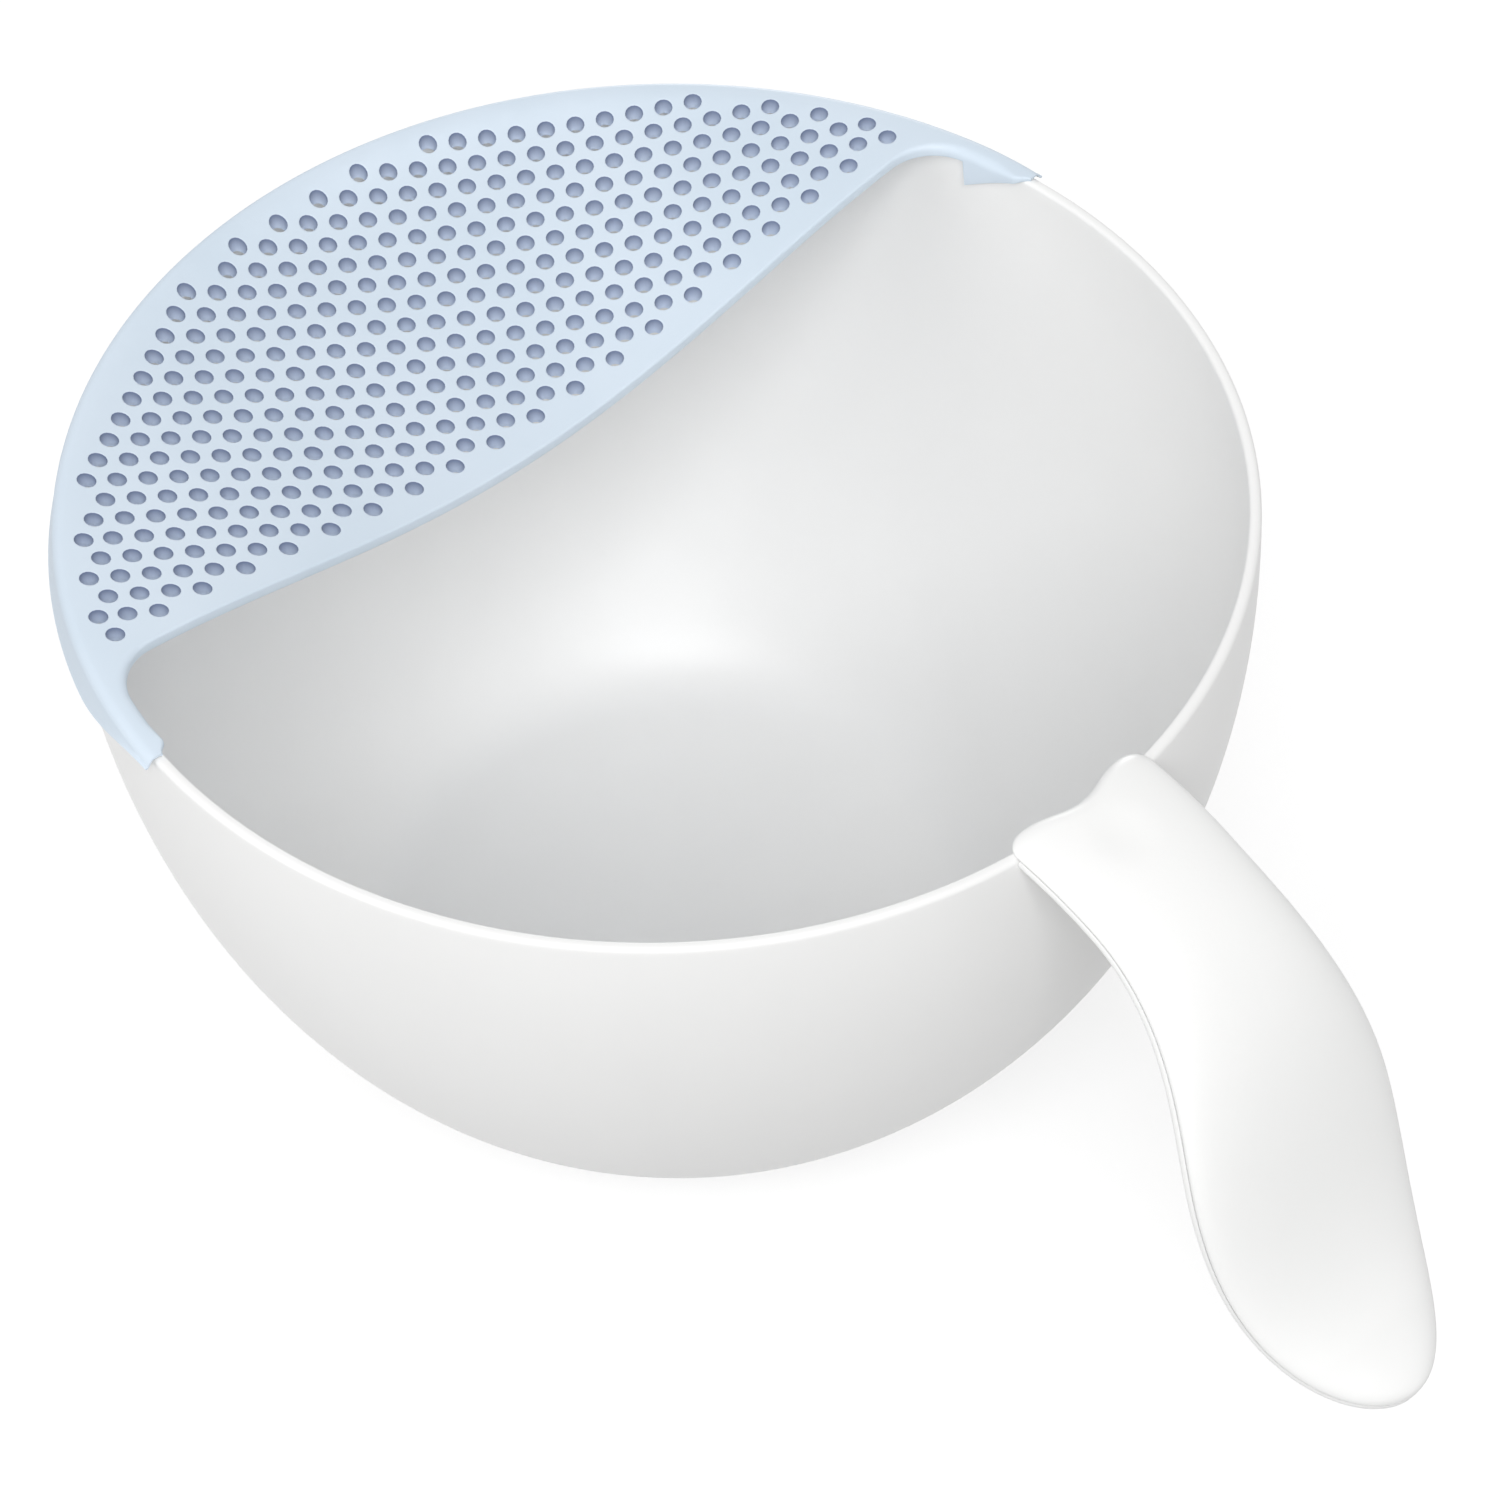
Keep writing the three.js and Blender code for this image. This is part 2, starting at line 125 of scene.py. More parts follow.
def grid_faces(rows, columns, round_columns=False):
    """Quads of a grid stored row by row. Round columns join the last column to the first."""
    steps = columns if round_columns else columns - 1
    row, column = np.meshgrid(np.arange(rows - 1), np.arange(steps), indexing="ij")
    following = (column + 1) % columns
    corners = [row * columns + column, row * columns + following,
               (row + 1) * columns + following, (row + 1) * columns + column]
    return np.stack(corners, -1).reshape(-1, 4)


def grid_patch(points, round_columns=False):
    """A patch, which is points and faces, of a grid of points of shape (rows, columns, 3)."""
    rows, columns = points.shape[:2]
    return points.reshape(-1, 3), grid_faces(rows, columns, round_columns)


def joined_mesh(name, patches):
    """Patches in one mesh in metres, welded where they share points, with the faces turned outwards."""
    starts = np.cumsum([0] + [len(points) for points, faces in patches])
    points = np.concatenate([points for points, faces in patches]) * MM
    faces = [face for (_, patch), start in zip(patches, starts)
             for face in (np.asarray(patch) + start).tolist()]
    mesh = bpy.data.meshes.new(name)
    mesh.from_pydata(points.tolist(), [], faces)
    work = bmesh.new()
    work.from_mesh(mesh)
    bmesh.ops.remove_doubles(work, verts=work.verts, dist=WELD * MM)
    bmesh.ops.recalc_face_normals(work, faces=work.faces)
    open_edges = sum(not edge.is_manifold for edge in work.edges)
    work.to_mesh(mesh)
    work.free()
    print(name, len(mesh.vertices), "points", len(mesh.polygons), "faces", open_edges, "open edges")
    return mesh


def make_piece(name, patches, body, node, finish, sharp):
    """A piece that is smooth but for edges sharper than an angle in degrees.

    It rides on a body, stands for a CAD node and gets its finish."""
    mesh = joined_mesh(name, patches)
    mesh.shade_smooth()
    mesh.set_sharp_from_angle(angle=math.radians(sharp))
    made = bpy.data.objects.new(name, mesh)
    bpy.context.scene.collection.objects.link(made)
    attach(made, body)
    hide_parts(node)
    mesh.materials.append(finish)
    return made


print("points closer than", WELD, "mm are welded")

# %% [markdown]
# ## Finishes
# Moulded plastic isn't one flat colour: its gloss wanders a little, its surface has a very fine
# ripple from the mould, and its tone drifts over the piece. A picture could be laid over it, but noise
# on Object coordinates keeps its scale on every piece. So each finish is a Principled shader with a
# broad noise for tone and gloss, and a fine one for the ripple.

# %% Finish recipe
RAMP_ENDS = (0.35, 0.65)
DRIFT_DETAIL = 3
GRAIN_DETAIL = 2
GRAIN_STRENGTH = 0.35


def surface_finish(name, tones, gloss, drift_scale, grain_scale, grain_depth):
    """A shader whose colour and roughness drift with a broad noise and whose grain is a fine bump."""
    material = bpy.data.materials.new(name)
    material.use_nodes = True
    nodes, links = material.node_tree.nodes, material.node_tree.links
    shader = nodes["Principled BSDF"]
    place = nodes.new("ShaderNodeTexCoord")
    drift = nodes.new("ShaderNodeTexNoise")
    drift.inputs["Scale"].default_value = drift_scale
    drift.inputs["Detail"].default_value = DRIFT_DETAIL
    links.new(place.outputs["Object"], drift.inputs["Vector"])
    tone = nodes.new("ShaderNodeValToRGB")
    for element, colour, end in zip(tone.color_ramp.elements, tones, RAMP_ENDS):
        element.color = (*colour, 1)
        element.position = end
    links.new(drift.outputs["Fac"], tone.inputs["Fac"])
    links.new(tone.outputs["Color"], shader.inputs["Base Color"])
    sheen = nodes.new("ShaderNodeMapRange")
    sheen.inputs["To Min"].default_value = gloss[0]
    sheen.inputs["To Max"].default_value = gloss[1]
    links.new(drift.outputs["Fac"], sheen.inputs["Value"])
    links.new(sheen.outputs["Result"], shader.inputs["Roughness"])
    grain = nodes.new("ShaderNodeTexNoise")
    grain.inputs["Scale"].default_value = grain_scale
    grain.inputs["Detail"].default_value = GRAIN_DETAIL
    links.new(place.outputs["Object"], grain.inputs["Vector"])
    bump = nodes.new("ShaderNodeBump")
    bump.inputs["Strength"].default_value = GRAIN_STRENGTH
    bump.inputs["Distance"].default_value = grain_depth * MM
    links.new(grain.outputs["Fac"], bump.inputs["Height"])
    links.new(bump.outputs["Normal"], shader.inputs["Normal"])
    return material


print("tones drift between", RAMP_ENDS, "of the broad noise")

# %% Plastic and steel
bowl_finish = surface_finish(
    "white_bowl_plastic", tones=[(0.86, 0.86, 0.855), (0.885, 0.885, 0.88)], gloss=(0.3, 0.4),
    drift_scale=14, grain_scale=700, grain_depth=0.05)
handle_finish = surface_finish(
    "white_handle_plastic", tones=[(0.865, 0.868, 0.86), (0.885, 0.885, 0.88)], gloss=(0.3, 0.42),
    drift_scale=18, grain_scale=1400, grain_depth=0.06)
steel_finish = surface_finish(
    "zinc_plated_steel", tones=[(0.5, 0.51, 0.53), (0.6, 0.61, 0.62)], gloss=(0.25, 0.4),
    drift_scale=300, grain_scale=3000, grain_depth=0.02)
steel_finish.node_tree.nodes["Principled BSDF"].inputs["Metallic"].default_value = 1.0
print("finishes", bowl_finish.name, handle_finish.name, steel_finish.name)

# %% [markdown]
# ## Silicone
# The silicone is matt and pale blue. The walls of its holes get painted shade at the upper edge and
# painted light at the foot, as if light came through the thin sheet. Light inside the material could be
# traced for that, but it is slow in a thin sheet. Here two attributes of the mesh mark the walls and the
# height up them, and the finish mixes the painted shade and light into its colour by them.

# %% Silicone finish with painted hole shade
# Painted tones of the holes' walls: painted light at the foot and painted shade at the top.
PAINTED_LIGHT_AT_FOOT = (0.74, 0.84, 1.0, 1)
PAINTED_SHADE_AT_TOP = (0.14, 0.18, 0.3, 1)


def add_painted_hole_shade(material):
    """Painted shade and light on the holes' walls: where the wall mask is 1, the colour goes from the
    foot's painted light to the top's painted shade by the height up the wall.
    """
    nodes, links = material.node_tree.nodes, material.node_tree.links
    colour = nodes["Principled BSDF"].inputs["Base Color"]
    sheet_tone = colour.links[0].from_socket
    painted_shade_wall_mask = nodes.new("ShaderNodeAttribute")
    painted_shade_wall_mask.attribute_name = "painted_shade_wall_mask"
    painted_shade_height = nodes.new("ShaderNodeAttribute")
    painted_shade_height.attribute_name = "painted_shade_height"
    # The wall tone is painted shade at the top of each hole and painted light at its foot.
    painted_wall_tone = nodes.new("ShaderNodeMixRGB")
    painted_wall_tone.inputs["Color1"].default_value = PAINTED_LIGHT_AT_FOOT
    painted_wall_tone.inputs["Color2"].default_value = PAINTED_SHADE_AT_TOP
    links.new(painted_shade_height.outputs["Fac"], painted_wall_tone.inputs["Fac"])
    sheet_or_painted_tone = nodes.new("ShaderNodeMixRGB")
    links.new(painted_shade_wall_mask.outputs["Fac"], sheet_or_painted_tone.inputs["Fac"])
    links.new(sheet_tone, sheet_or_painted_tone.inputs["Color1"])
    links.new(painted_wall_tone.outputs["Color"], sheet_or_painted_tone.inputs["Color2"])
    links.new(sheet_or_painted_tone.outputs["Color"], colour)


silicone_finish = surface_finish(
    "pale_blue_silicone", tones=[(0.625, 0.72, 0.815), (0.66, 0.75, 0.845)], gloss=(0.42, 0.55),
    drift_scale=30, grain_scale=2600, grain_depth=0.05)
add_painted_hole_shade(silicone_finish)
print("finish", silicone_finish.name, "with", len(silicone_finish.node_tree.nodes), "nodes")

# %% [markdown]
# ## The bowl
# The bowl is turned: one half section carried round the vertical axis. Its wall follows half an
# ellipse, a rounding leads into the flat base, and the rim is rounded over on both sides. A Screw
# modifier could turn it, but under the handle the wall of the real bowl is a little fuller, and a
# formula can swell that side. The tang, a flat tongue below the rim, carries the handle and is hidden
# inside it.

# %% Bowl section
WALL = 2.2
FLOOR = 3.2
BASE_RADIUS = 50
BASE_ROUND = 9
BODY_DEPTH = 143
RIM_ROUND = 0.9
RIM_INNER = RIM_RADIUS - WALL
WALL_POINTS = 48
ROUND_POINTS = 10
DISC_POINTS = 6
RIM_POINTS = 6


def arc_points(centre, radius, start, end, count):
    """Points of a circle's arc between two angles in degrees, both ends included."""
    angle = np.radians(np.linspace(start, end, count))
    return np.stack([centre[0] + radius * np.cos(angle), centre[1] + radius * np.sin(angle)], -1)


def wall_section(radius, depth, base_height):
    """Flat base edge, a quadratic rounding, then the ellipse up to just below the rim."""
    turn = -math.asin((RIM_HEIGHT - base_height - BASE_ROUND) / depth)
    start = np.array([radius * math.cos(turn), RIM_HEIGHT + depth * math.sin(turn)])
    slope = -radius * math.sin(turn) / (depth * math.cos(turn))
    corner = np.array([start[0] - slope * BASE_ROUND, base_height])
    foot = np.array([BASE_RADIUS, base_height])
    way = np.linspace(0, 1, ROUND_POINTS)[:, None]
    rounding = (1 - way) ** 2 * foot + 2 * way * (1 - way) * corner + way ** 2 * start
    angle = np.linspace(turn, -math.asin(2 * RIM_ROUND / depth), WALL_POINTS)
    wall = np.stack([radius * np.cos(angle), RIM_HEIGHT + depth * np.sin(angle)], -1)
    return np.concatenate([rounding, wall[1:]])


def flat_disc(edge, height):
    """Points from the axis out to a flat disc's edge, the edge itself left out."""
    radius = np.linspace(0, edge, DISC_POINTS, endpoint=False)
    return np.stack([radius, np.full(DISC_POINTS, height)], -1)


round_height = RIM_HEIGHT - RIM_ROUND
bowl_section = np.concatenate([
    flat_disc(BASE_RADIUS, 0),
    wall_section(RIM_RADIUS, BODY_DEPTH, 0),
    arc_points((RIM_RADIUS - RIM_ROUND, round_height), RIM_ROUND, 0, 90, RIM_POINTS),
    arc_points((RIM_INNER + RIM_ROUND, round_height), RIM_ROUND, 90, 180, RIM_POINTS),
    wall_section(RIM_INNER, BODY_DEPTH - WALL, FLOOR)[::-1],
    flat_disc(BASE_RADIUS, FLOOR)[::-1],
])
print("bowl section", len(bowl_section), "points")

# %% Bowl
BOWL_BODY = "bowl_and_handle"
BOWL_TURNS = 288
BOWL_SHARP = 40
SIDE_SWELL = 6.2
SWELL_FOCUS = 3
TANG_LENGTH = 19
TANG_WIDTH = 18
TANG_THICKNESS = 2.4
TANG_DROP = 2.6
TANG_ROUND = 0.6
TANG_CORNER_POINTS = 5


def side_swell(radius, height, angle):
    """Extra radius: greatest towards the handle, none at the rim and none at the axis.

    It grows with the square of the radius and falls with the square of the height."""
    towards_handle = ((1 + np.cos(angle)) / 2) ** SWELL_FOCUS
    return SIDE_SWELL * towards_handle * (radius / RIM_RADIUS) ** 2 * (1 - (height / RIM_HEIGHT) ** 2)


def turned(section, turns):
    """A section of (radius, height) points carried round the vertical axis and swelled on one side."""
    angle = np.linspace(0, 2 * np.pi, turns, endpoint=False)
    height = section[:, 1:2]
    radius = section[:, 0:1] + side_swell(section[:, 0:1], height, angle)
    grid = np.stack([radius * np.cos(angle), radius * np.sin(angle), height + 0 * angle], -1)
    return grid_patch(grid, round_columns=True)


def tongue(low, high, rounding):
    """A bar along X whose section is a rounded rectangle, closed to the middle at both ends."""
    corner_y, corner_z = high[1] - rounding, (high[2] - low[2]) / 2 - rounding
    middle_z = (high[2] + low[2]) / 2
    quarters = [(corner_y, corner_z, 0), (-corner_y, corner_z, 90),
                (-corner_y, -corner_z, 180), (corner_y, -corner_z, 270)]
    ring = np.concatenate([arc_points((y, z), rounding, start, start + 90, TANG_CORNER_POINTS)
                           for y, z, start in quarters])
    shrink = np.array([0.0, 1.0, 1.0, 0.0])[:, None]
    x = np.array([low[0], low[0], high[0], high[0]])[:, None]
    grid = np.stack([x + 0 * ring[:, 0], shrink * ring[:, 0], middle_z + shrink * ring[:, 1]], -1)
    return grid_patch(grid, round_columns=True)


tang_middle = RIM_HEIGHT - TANG_DROP
tang_low = (RIM_RADIUS - WALL / 2, -TANG_WIDTH / 2, tang_middle - TANG_THICKNESS / 2)
tang_high = (RIM_RADIUS + TANG_LENGTH, TANG_WIDTH / 2, tang_middle + TANG_THICKNESS / 2)
bowl_patches = [turned(bowl_section, BOWL_TURNS), tongue(tang_low, tang_high, TANG_ROUND)]
make_piece("bowl_shell", bowl_patches, BOWL_BODY, "bowl", bowl_finish, BOWL_SHARP)

# %% [markdown]
# ## The strainer's sheet
# The strainer is one soft moulding. Seen from above it is a crescent: a channel clips over the far
# half of the rim, and a web hangs from it towards the middle of the bowl. A cloth simulation could
# make it sag, but then the border and the holes would have to follow it. So its upper face is one
# height function of the plan, flat over the rim and sagging towards the free edge, and all else that
# touches the sheet reads its height there.

# %% Strainer sizes
CLIP_GAP = 0.3
TOP_SKIN = 0.9
LIP_WALL = 1.0
TIP_THIN = 0.45
TIP_SET_BACK = 0.5
TIP_START = 0.8
HORN_ANGLE = 84
FREE_EDGE = 33
CORNER = 11
WEB_RADIUS = RIM_INNER - CLIP_GAP
LIP_RADIUS = WEB_RADIUS - LIP_WALL
TIP_RADIUS = RIM_INNER + TIP_SET_BACK
CEILING = RIM_HEIGHT + CLIP_GAP
CAP_TOP = CEILING + TOP_SKIN
fillet_x = CORNER - FREE_EDGE
fillet_y = math.sqrt((LIP_RADIUS - CORNER) ** 2 - fillet_x ** 2)
corner_angle = math.degrees(math.atan2(fillet_y, -fillet_x))


def eased(share):
    """A share from 0 to 1 that starts and ends gently: three times its square less twice its cube."""
    return share ** 2 * (3 - 2 * share)


def horn_run(angle):
    """0 at the corner where a horn starts, 1 at its tip; angles in degrees."""
    return np.clip((np.abs(angle) - corner_angle) / (HORN_ANGLE - corner_angle), 0, 1)


def horn_edge(angle):
    """Radius of a horn's inner edge, which moves out over the rim on the last stretch to the tip."""
    last = np.clip((horn_run(angle) - TIP_START) / (1 - TIP_START), 0, 1)
    return LIP_RADIUS + (TIP_RADIUS - LIP_RADIUS) * eased(last)


print("horns from", round(corner_angle, 2), "to", HORN_ANGLE, "degrees each way")

# %% Sheet heights
WEB_SAG = 18.5
RIM_DIP = 1.2
RIM_DIP_REACH = 0.15
CREASE = 0.02
WEB_THICKNESS = 3.4
EDGE_THICKNESS = 2.5
EDGE_TAPER = 6


def sheet_height(x, y):
    """Cap height less a sag that grows with the distance inside the rim and fades at the horns.

    The share inside the rim is softened near zero, so that cap and web meet in a soft crease.
    The horns thin out towards their tips."""
    inside = 1 - (x * x + y * y) / WEB_RADIUS ** 2
    soft = (inside + np.sqrt(inside ** 2 + CREASE ** 2)) / 2
    across = np.maximum(0, 1 - y * y / WEB_RADIUS ** 2)
    sag = WEB_SAG * across * soft * (1 + RIM_DIP * np.exp(-soft / RIM_DIP_REACH))
    return CAP_TOP - sag - TIP_THIN * horn_run(np.degrees(np.arctan2(y, -x))) ** 2


def sheet_under(x, y):
    """Height of the lower face: the web thins over the last stretch to its free edge."""
    share = np.clip((-x - FREE_EDGE) / EDGE_TAPER, 0, 1)
    return sheet_height(x, y) - EDGE_THICKNESS - (WEB_THICKNESS - EDGE_THICKNESS) * eased(share)


lowest = sheet_height(np.array([-FREE_EDGE]), np.array([0.0]))[0]
print("the free edge hangs", round(CAP_TOP - lowest, 1), "mm below the cap")

# %% [markdown]
# ## The strainer's inner border
# The border runs along one horn, round a fillet, along the free edge and back. A curve with a bevel
# could follow it, but its profile would be the same all the way. Here each stop has a point in plan
# and a direction towards the open side, and a rounded profile is carried along that changes on the
# way: along the horns it reaches further down and becomes the lip that grips the rim from inside.

# %% Strainer border
EDGE_STEP = 1.5
EDGE_BOW = 0.6
FILLET_STOPS = 18
HORN_STEP = 0.3
LIP_START = 0.3
horn_stops = round((HORN_ANGLE - corner_angle - LIP_START) / HORN_STEP)
horn_angles = np.append(np.linspace(HORN_ANGLE, corner_angle + LIP_START, horn_stops), corner_angle)


def on_rim(radius, angle):
    """Plan points at an angle in degrees from the strainer's middle, which lies on -X."""
    turn = np.radians(angle)
    return np.stack([-radius * np.cos(turn), radius * np.sin(turn)], -1)


def half_border():
    """Plan points, open-side directions and way along the fillet from the +Y horn's tip to the middle.

    The way is 0 on the horn, grows to 1 round the fillet and stays 1 on the free edge."""
    horn = on_rim(horn_edge(horn_angles), horn_angles)
    turn = np.linspace(math.atan2(fillet_y, fillet_x), math.pi, FILLET_STOPS)
    away = np.stack([np.cos(turn), np.sin(turn)], -1)
    fillet = np.array([fillet_x, fillet_y]) + CORNER * away
    y = np.linspace(fillet_y, 0, round(fillet_y / EDGE_STEP))
    edge = np.stack([EDGE_BOW * ((y / fillet_y) ** 2 - 1) - FREE_EDGE, y], -1)
    points = np.concatenate([horn, fillet[1:], edge[1:]])
    inward = on_rim(-1.0, horn_angles)
    open_side = np.concatenate([inward, -away[1:], np.tile([1.0, 0.0], (len(y) - 1, 1))])
    growing = np.linspace(0, 1, FILLET_STOPS)
    way = np.concatenate([np.zeros(len(horn)), growing[1:], np.ones(len(y) - 1)])
    return points, open_side, way


half_points, half_open, half_way = half_border()
flip = np.array([1.0, -1.0])
border = np.concatenate([half_points, half_points[-2::-1] * flip])
border_open = np.concatenate([half_open, half_open[-2::-1] * flip])
border_way = np.concatenate([half_way, half_way[-2::-1]])
horn_count = len(horn_angles)
on_horn = np.zeros(len(border), bool)
on_horn[:horn_count - 1] = True
on_horn[-(horn_count - 1):] = True
print("border", len(border), "stops,", horn_count, "of them on each horn")

# %% Border strip
EDGE_ROUND = 0.55
HORN_ROUND = 2.0
LIP_ROUND = 0.35
LIP_DEPTH = 7.4
LIP_TIP = 0.25
LIP_CURVE = 1.2
TOP_SHARE = 0.45
LOW_SHARE = 0.3
PROFILE_POINTS = 7


def lip_hem(angle):
    """Height of the lip's hem: its drop at the corner times a power of the way left to the tip."""
    return CEILING - LIP_TIP - (LIP_DEPTH + CLIP_GAP - LIP_TIP) * (1 - horn_run(angle)) ** LIP_CURVE


hem_at_border = lip_hem(np.degrees(np.arctan2(border[:, 1], -border[:, 0])))
room = sheet_height(border[:, 0], border[:, 1]) - hem_at_border
top_round = HORN_ROUND + (EDGE_ROUND - HORN_ROUND) * border_way
top_round = np.where(on_horn, np.minimum(top_round, TOP_SHARE * room), top_round)
low_round = LIP_ROUND + (EDGE_ROUND - LIP_ROUND) * border_way
low_round = np.where(on_horn, np.minimum(low_round, LOW_SHARE * room), low_round)
border_top = border - border_open * top_round[:, None]
border_low = border - border_open * low_round[:, None]
border_level = sheet_height(border_top[:, 0], border_top[:, 1])
border_bottom = np.where(on_horn, hem_at_border, sheet_under(border_low[:, 0], border_low[:, 1]))


def border_strip():
    """Quarter round at the top, a straight wall, and a quarter round at the bottom, at each stop."""
    turn = np.radians(np.linspace(0, 90, PROFILE_POINTS))
    top_in = top_round[:, None] * (np.sin(turn) - 1)
    top_z = border_level[:, None] - top_round[:, None] * (1 - np.cos(turn))
    low_in = low_round[:, None] * (np.cos(turn) - 1)
    low_z = border_bottom[:, None] + low_round[:, None] * (1 - np.sin(turn))
    inset = np.concatenate([top_in, low_in], 1)
    height = np.concatenate([top_z, low_z], 1)
    plan = border[:, None, :] + border_open[:, None, :] * inset[..., None]
    return np.concatenate([plan, height[..., None]], -1)


strip = border_strip()
print("border strip", strip.shape)

# %% [markdown]
# ## The channel over the rim
# From the cap's outer edge a section goes round the outside: a rounded corner, the skirt with a
# slight flare, its hem, and back up inside to the ceiling of the channel. The same section is
# carried along the rim. It could be swept with one fixed profile, but the real skirt grows shallow
# towards the tips of the horns, so each stop has its own.

# %% Channel
SKIN = 1.2
SKIRT_DEPTH = 6.5
TIP_DEPTH = 1.3
TIP_LIP_WALL = 0.35
TAPER_ANGLE = 14
CAP_ROUND = 2.2
HEM_ROUND = 0.25
TIP_FLARE = 0.4
TIP_WALL = 0.7
UNDER_LAP = 0.1
CAP_POINTS = 9
RIM_STEP = 1.0
SKIRT_INNER = RIM_RADIUS + CLIP_GAP
SKIRT_OUTER = SKIRT_INNER + SKIN
HEM_FLARE = HEM_RADIUS - SKIRT_OUTER
UNDER_RADIUS = RIM_INNER - UNDER_LAP
web_angles = np.linspace(corner_angle, -corner_angle, round(2 * corner_angle / RIM_STEP))
rim_angles = np.concatenate([horn_angles[:-1], web_angles, -horn_angles[-2::-1]])
rim_on_horn = np.abs(rim_angles) > corner_angle + LIP_START / 2


def horn_share(angle):
    """1 along the channel, falling smoothly to 0 at the tips of the horns; angles in degrees."""
    return eased(np.clip((HORN_ANGLE - np.abs(angle)) / TAPER_ANGLE, 0, 1))


def carried_on_rim(radius, height):
    """Grid of (radius, height) sections, one row for each stop along the rim."""
    plan = on_rim(radius, np.broadcast_to(rim_angles[:, None], radius.shape))
    return np.concatenate([plan, height[..., None]], -1)


def channel_section():
    """Radius and height at each stop, from the cap's edge round the hem to the channel's ceiling."""
    share = horn_share(rim_angles)[:, None]
    run = horn_run(rim_angles)[:, None] ** 2
    hem = RIM_HEIGHT - TIP_DEPTH - (SKIRT_DEPTH - TIP_DEPTH) * share
    outside = SKIRT_OUTER + HEM_FLARE * (TIP_FLARE + (1 - TIP_FLARE) * share)
    inside = SKIRT_INNER + (outside - TIP_WALL - SKIRT_INNER) * run
    turn = np.radians(np.linspace(90, 0, CAP_POINTS))
    one = np.ones_like(share)
    cap_r = (SKIRT_OUTER - CAP_ROUND + CAP_ROUND * np.cos(turn)) * one
    drop = CAP_ROUND * (1 - np.sin(turn))
    cap_z = CAP_TOP - TIP_THIN * run - np.minimum(drop, CAP_TOP - hem - 2 * HEM_ROUND - TIP_THIN)
    horn_wall = np.maximum(WEB_RADIUS, horn_edge(rim_angles) + TIP_LIP_WALL)
    inner_wall = np.where(rim_on_horn, horn_wall, UNDER_RADIUS)[:, None]
    radius = [cap_r, outside, outside - HEM_ROUND, inside + HEM_ROUND,
              inside, SKIRT_INNER * one, inner_wall, inner_wall]
    rim_plan = on_rim(inner_wall[:, 0], rim_angles)
    under_web = sheet_under(rim_plan[:, 0], rim_plan[:, 1])
    under = np.where(rim_on_horn, lip_hem(rim_angles), under_web)[:, None]
    height = [cap_z, hem + HEM_ROUND, hem, hem, hem + HEM_ROUND, CEILING * one, CEILING * one, under]
    return np.concatenate(radius, 1), np.concatenate(height, 1)


channel_radius, channel_height = channel_section()
cap_edge = on_rim(SKIRT_OUTER - CAP_ROUND, rim_angles)
channel_height[:, 0] = sheet_height(cap_edge[:, 0], cap_edge[:, 1])
channel = carried_on_rim(channel_radius, channel_height)
print("channel", channel.shape)

# %% [markdown]
# ## Holes
# The holes lie on a triangular grid whose rows run away from the free edge. The clipped web is under
# tension, which spreads the rows a little and bows them towards the free edge at both ends. A Boolean
# could cut the holes, but its edges would shade badly. So each hole is a short tube with a rounded
# upper edge and a narrow flat collar, which keeps the shading clean.

# %% Hole places
HOLE_PITCH = 5.5
HOLE_BORDER = 6.8
RIM_BORDER = 2.05
DRAW_IN = 0.4
ROWS_EACH_WAY = 25
ROW_LENGTH = 20
GRID_HALF = 90
GRID_MIDDLE = 65
ROW_SPREAD = 1.023
ROW_BOW = 2.76
BOW_FADE = 0.012


def hole_centres():
    """Grid points with every second row half a pitch further, inside a circle short of the rim.

    The bow grows with the square of the distance from the middle row and fades towards the free edge.
    The few holes that then lie just past the circle are drawn in to it."""
    row_step = HOLE_PITCH * math.sqrt(3) / 2
    reach = RIM_INNER - RIM_BORDER
    rows = np.arange(-ROWS_EACH_WAY, ROWS_EACH_WAY + 1)
    row, step = np.meshgrid(rows, np.arange(ROW_LENGTH), indexing="ij")
    x = -(FREE_EDGE + HOLE_BORDER + (step + 0.5 * (row % 2 == 0)) * HOLE_PITCH)
    y = row * row_step
    keep = np.hypot(x, y) <= reach + DRAW_IN
    bow = ROW_BOW * (y / GRID_HALF) ** 2 * (1 - BOW_FADE * (x + GRID_MIDDLE))
    grid = np.stack([(x + bow)[keep], ROW_SPREAD * y[keep]], -1)
    far = np.hypot(grid[:, 0], grid[:, 1])[:, None]
    return grid * np.minimum(1, reach / far)


holes = hole_centres()
print(len(holes), "holes")

# %% Hole tubes
HOLE_RADIUS = 1.68
HOLE_ROUND = 0.14
HOLE_COLLAR = 0.25
HOLE_SIDES = 16
collar_radius = HOLE_RADIUS + HOLE_ROUND + HOLE_COLLAR
hole_turn = np.linspace(0, 2 * np.pi, HOLE_SIDES, endpoint=False)
hole_circle = np.stack([np.cos(hole_turn), np.sin(hole_turn)], -1)


def hole_tubes():
    """Collar, rounded edge and straight wall of every hole, as rings that follow the sheet."""
    half = HOLE_ROUND * (1 - math.sqrt(0.5))
    rings = np.array([HOLE_ROUND + HOLE_COLLAR, HOLE_ROUND, half, 0, 0]) + HOLE_RADIUS
    drops = np.array([0, 0, half, HOLE_ROUND])
    plan = holes[:, None, None, :] + rings[:, None, None] * hole_circle
    height = sheet_under(plan[..., 0], plan[..., 1])
    height[:, :-1] = sheet_height(plan[:, :-1, :, 0], plan[:, :-1, :, 1]) - drops[:, None]
    return np.concatenate([plan, height[..., None]], -1)


tubes = hole_tubes()
one_tube = grid_faces(tubes.shape[1], HOLE_SIDES, round_columns=True)
tube_starts = np.arange(len(holes)) * tubes.shape[1] * HOLE_SIDES
tube_patch = (tubes.reshape(-1, 3), (one_tube + tube_starts[:, None, None]).reshape(-1, 4))
print(len(one_tube), "faces in each hole")

